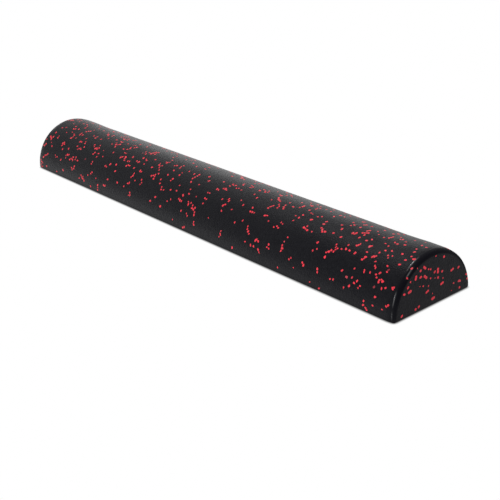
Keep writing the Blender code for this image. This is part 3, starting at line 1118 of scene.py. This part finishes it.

# %% [markdown]
# ### The black foam
# One material covers the whole skin. The two groups and the two masks change its colour,
# roughness and bump from place to place. The matt mask also darkens the colour on the rims,
# as painted shade. The film is a coat, because a coat shines sharply by itself while the foam
# below it stays dull, and its streaks are also mixed to a lighter grey in the colour, as a
# painted highlight. The colours, the roughness and the depth of the bump are fitted to the
# photograph's brightness and grain.

# %% Black foam
PEBBLE_RAMP = (0.3, 0.7)                # pebble values where the roughness starts and ends
FOAM_DARK, FOAM_LIGHT = (0.0006, 0.0006, 0.0026), (0.0036, 0.0036, 0.0060)
FOAM_DUST = (0.0090, 0.0090, 0.0100)
DUST_ALL, DUST_PATCHES = 0.18, 0.3      # shares of dust everywhere, and more in the patches
FOAM_SPECULAR = 0.075
FOAM_ROUGHNESS = (0.30, 0.42)
RIM_ROUGHER = 0.35                      # added to the roughness on the rim
RIM_FLATTER = 0.7                       # share of the bump that the rim loses
FOAM_DEPTH = 0.00021
# The grey mixed into the colour along the film's streaks is a painted highlight.
PAINTED_GLINT_GREY = (0.060, 0.060, 0.064)
FILM_ROUGHNESS = 0.12
FILM_WORN, WORN_SPECK = 0.35, 0.8       # share of film left where a speck reaches this value


def foam_material():
    """Shade by bead, dusty specks, roughness by pebble and rim, and the moulded skin as bump."""
    material, tree, shader, skin, wear = new_material("black_foam_skin", FOAM_SPECULAR)
    shader.inputs["Coat Roughness"].default_value = FILM_ROUGHNESS
    matt_and_shade = attribute_node(tree, "matt_and_shade")
    beads = mix_colours(tree, skin.outputs["Shade"], FOAM_DARK, FOAM_LIGHT)
    patches = math_node(tree, "MULTIPLY", wear.outputs["Dull"], DUST_PATCHES)
    dust = math_node(tree, "ADD", patches, DUST_ALL)
    dusty = mix_colours(tree, dust, beads, FOAM_DUST)
    # Painted shade: where the rims are matt, the colour is also darkened.
    colour_with_rim_shade = mix_colours(tree, matt_and_shade, dusty, FOAM_DARK)
    rough = ramp_node(tree, skin.outputs["Pebble"], *PEBBLE_RAMP, *FOAM_ROUGHNESS)
    rougher = math_node(tree, "MULTIPLY", matt_and_shade, RIM_ROUGHER)
    tree.links.new(math_node(tree, "ADD", rough, rougher), shader.inputs["Roughness"])
    broken = ramp_node(tree, wear.outputs["Speck"], 0.0, WORN_SPECK, 1.0, FILM_WORN)
    film_and_painted_glint = math_node(tree, "MULTIPLY", attribute_node(tree, "film_and_painted_glint"), broken)
    # Painted highlight: the film's streaks turn the colour a lighter grey, and they also get a real
    # coat.
    tree.links.new(mix_colours(tree, film_and_painted_glint, colour_with_rim_shade, PAINTED_GLINT_GREY), shader.inputs["Base Color"])
    tree.links.new(film_and_painted_glint, shader.inputs["Coat Weight"])
    flatter = math_node(tree, "SUBTRACT", 1.0, math_node(tree, "MULTIPLY", matt_and_shade, RIM_FLATTER))
    grain = math_node(tree, "MULTIPLY", skin.outputs["Height"], flatter)
    bump(tree, shader, grain, FOAM_DEPTH)
    return material


foam_skin.data.materials.clear()
black_foam = foam_material()
foam_skin.data.materials.append(black_foam)
print("black foam nodes:", len(black_foam.node_tree.nodes))

# %% [markdown]
# ### The red beads
# All the red beads share one material. In the photograph they differ in shade, though some of
# that may be the light. Each bead here carries a tone of its own on its points, and the tone
# picks its red. Most are bright, a few paler, and fewer still dusky, and how many is a guess.
# The bright reds are fitted to the photograph over five parts of the roller, and are a
# compromise between them.

# %% Red beads
DEEP_RED, BRIGHT_RED = (0.68, 0.037, 0.057), (0.84, 0.041, 0.065)
PALE_RED, DUSKY_RED = (0.66, 0.080, 0.110), (0.20, 0.020, 0.030)
GRIMY_RED = (0.26, 0.016, 0.026)
BRIGHT_TONES = (0.15, 1.0)              # tones where the bright red starts and is full
PALE_TONES = (0.025, 0.020)             # a bead below the second is pale
DUSKY_TONES = (0.010, 0.006)            # a bead below the second is dusky
GRIME_SHARE = 0.25
RED_SPECULAR = 0.12
RED_ROUGHNESS = (0.34, 0.50)
RED_DEPTH = 0.00010


def red_material():
    """Red plastic: bright for most beads, paler for some and dusky for a few, by their tone."""
    material, tree, shader, skin, wear = new_material("red_bead_plastic", RED_SPECULAR)
    tone = attribute_node(tree, "tone")
    red = mix_colours(tree, ramp_node(tree, tone, *BRIGHT_TONES), DEEP_RED, BRIGHT_RED)
    red = mix_colours(tree, ramp_node(tree, tone, *PALE_TONES), red, PALE_RED)
    red = mix_colours(tree, ramp_node(tree, tone, *DUSKY_TONES), red, DUSKY_RED)
    grime = math_node(tree, "MULTIPLY", wear.outputs["Speck"], GRIME_SHARE)
    tree.links.new(mix_colours(tree, grime, red, GRIMY_RED), shader.inputs["Base Color"])
    rough = ramp_node(tree, skin.outputs["Pebble"], *PEBBLE_RAMP, *RED_ROUGHNESS)
    tree.links.new(rough, shader.inputs["Roughness"])
    bump(tree, shader, skin.outputs["Pebble"], RED_DEPTH)
    return material


red = red_material()
red_pieces = [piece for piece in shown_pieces() if piece.name.endswith("_beads")]
for piece in red_pieces:
    piece.data.materials.append(red)
print("red pieces:", len(red_pieces))

# %% [markdown]
# ## The floor
# The photograph is a cut-out look: a pure white ground with just a breath of shadow under the
# roller. A lamp strong enough to make a floor that white would light the roller too. So the
# floor glows by itself where the camera or a reflection sees it, and is dimmed only where
# ambient occlusion finds the roller close by. To other light it is plain white paint. It lies
# a little below the flat side, so that the flat side's beads clear it.

# %% Floor
FLOOR_HALF = 6.0
FLOOR_DROP = 0.0002
FLOOR_PAINT = (0.8, 0.8, 0.8, 1.0)
SHADOW_REACH = 0.0032


def seen_directly(tree):
    """1 for rays from the camera, a mirror or glass, and 0 for light that falls on things."""
    path = tree.nodes.new("ShaderNodeLightPath")
    first = math_node(tree, "MAXIMUM", path.outputs["Is Camera Ray"], path.outputs["Is Glossy Ray"])
    return math_node(tree, "MAXIMUM", first, path.outputs["Is Transmission Ray"])


def floor_material():
    """White by its own light where it is seen, dimmed near the roller; white paint otherwise."""
    material = bpy.data.materials.new("white_floor")
    material.use_nodes = True
    tree = material.node_tree
    tree.nodes.remove(tree.nodes["Principled BSDF"])
    paint = tree.nodes.new("ShaderNodeBsdfDiffuse")
    paint.inputs["Color"].default_value = FLOOR_PAINT
    near = tree.nodes.new("ShaderNodeAmbientOcclusion")
    near.inputs["Distance"].default_value = SHADOW_REACH
    glow = tree.nodes.new("ShaderNodeEmission")
    tree.links.new(near.outputs["Color"], glow.inputs["Color"])
    mix = tree.nodes.new("ShaderNodeMixShader")
    tree.links.new(seen_directly(tree), mix.inputs["Fac"])
    tree.links.new(paint.outputs[0], mix.inputs[1])
    tree.links.new(glow.outputs[0], mix.inputs[2])
    tree.links.new(mix.outputs[0], tree.nodes["Material Output"].inputs["Surface"])
    return material


corners = np.array(((-1, -1, -1), (1, -1, -1), (1, 1, -1), (-1, 1, -1)))
corners = corners * (FLOOR_HALF, FLOOR_HALF, FLOOR_DROP)
floor = new_object("floor", corners, [np.array(((0, 1, 2, 3),))], smooth=False)
floor.data.materials.append(floor_material())
floor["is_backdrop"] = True
print("floor %.0f m wide" % (2 * FLOOR_HALF))

# %% [markdown]
# ## The room
# The world stands for a white room. Where it is seen, straight or in a reflection, it is as
# white as the floor, and that reflection is most of what shows on the black foam. For the
# light that falls on the roller it is a bit dimmer, and the lamps do the rest.

# %% World
WHITE = (1.0, 1.0, 1.0, 1.0)
WORLD_LIGHT, WORLD_SEEN = 0.75, 1.0


def white_world():
    """White where it is seen, and a dimmer grey for the light that it sheds."""
    world = bpy.data.worlds.new("studio")
    world.use_nodes = True
    tree = world.node_tree
    shed = tree.nodes["Background"]
    shed.inputs["Strength"].default_value = WORLD_LIGHT
    shed.inputs["Color"].default_value = WHITE
    shown = tree.nodes.new("ShaderNodeBackground")
    shown.inputs["Color"].default_value = WHITE
    shown.inputs["Strength"].default_value = WORLD_SEEN
    mix = tree.nodes.new("ShaderNodeMixShader")
    tree.links.new(seen_directly(tree), mix.inputs["Fac"])
    tree.links.new(shed.outputs[0], mix.inputs[1])
    tree.links.new(shown.outputs[0], mix.inputs[2])
    tree.links.new(mix.outputs[0], tree.nodes["World Output"].inputs["Surface"])
    return world


bpy.context.scene.world = white_world()
print("world sheds %.2f and is seen as %.2f" % (WORLD_LIGHT, WORLD_SEEN))

# %% [markdown]
# ## The lamps
# The lamps are area lamps, which show in glossy things as bright panels. Their places and
# powers are fitted to this one photograph, so they say little about the real studio. Two small
# ones are for the streaks along the rim. A broad one above lights the red beads, and one low
# behind stands for a bright backdrop. The last lies on the floor in front, for the over-bright
# floor of the photograph, and lifts the barrel's foot.

# %% Lamps
LAMP_TARGET = np.array((0.2, 0.0, 0.05))
# Each softbox: its name, azimuth and elevation in degrees, distance and side in metres, watts
SOFTBOXES = (
    ("upper_streak_lamp", -93, 63, 1.8, 0.3, 6.8),
    ("lower_streak_lamp", -18, 16, 1.8, 0.15, 0.7),
    ("top_fill_lamp", 30, 62, 1.8, 1.2, 8),
    ("bright_backdrop", -130, 10, 2.0, 1.1, 2.4),
)
BRIGHT_FLOOR_PLACE = (-0.33, -0.14, 0.001)
BRIGHT_FLOOR_SIZE = (1.55, 0.12)
BRIGHT_FLOOR_POWER = 0.4                # watts


def area_lamp(name, place, facing, size, power):
    """An area lamp at a place that shines along a direction and that the camera doesn't see."""
    data = bpy.data.lights.new(name, "AREA")
    data.shape = "RECTANGLE"
    data.size, data.size_y = size
    data.energy = power
    lamp = bpy.data.objects.new(name, data)
    lamp.location = place
    lamp.rotation_euler = Vector(facing).to_track_quat("-Z", "Y").to_euler()
    lamp.visible_camera = False
    bpy.context.scene.collection.objects.link(lamp)
    return lamp


def softbox(name, azimuth, elevation, distance, size, power):
    """A square area lamp in a direction round the roller, facing the target."""
    turn, rise = np.radians((azimuth, elevation))
    out = np.array((np.sin(turn) * np.cos(rise), -np.cos(turn) * np.cos(rise), np.sin(rise)))
    return area_lamp(name, LAMP_TARGET + distance * out, -out, (size, size), power)


lamps = [softbox(*row) for row in SOFTBOXES]
lamps.append(area_lamp(
    "bright_floor", BRIGHT_FLOOR_PLACE, (0, 0, 1), BRIGHT_FLOOR_SIZE, BRIGHT_FLOOR_POWER,
))
bpy.context.scene.view_settings.view_transform = "Standard"
print("lamps:", ", ".join(lamp.name for lamp in lamps))

# %% [markdown]
# The skin has to stay near the CAD model's box. The box grows by about 0.13 mm at the sides
# and ends, from beads and waves, and by about one and a half at the top, from the flare.
# Nothing reaches below the flat side by more than its beads stand proud. The growth of the
# box is printed.

# %% Finish
dressed_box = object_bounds()
growth = np.array(dressed_box) - np.array(cad_box)
print("box growth in mm:", (growth * MILLIMETRES).round(3).tolist())
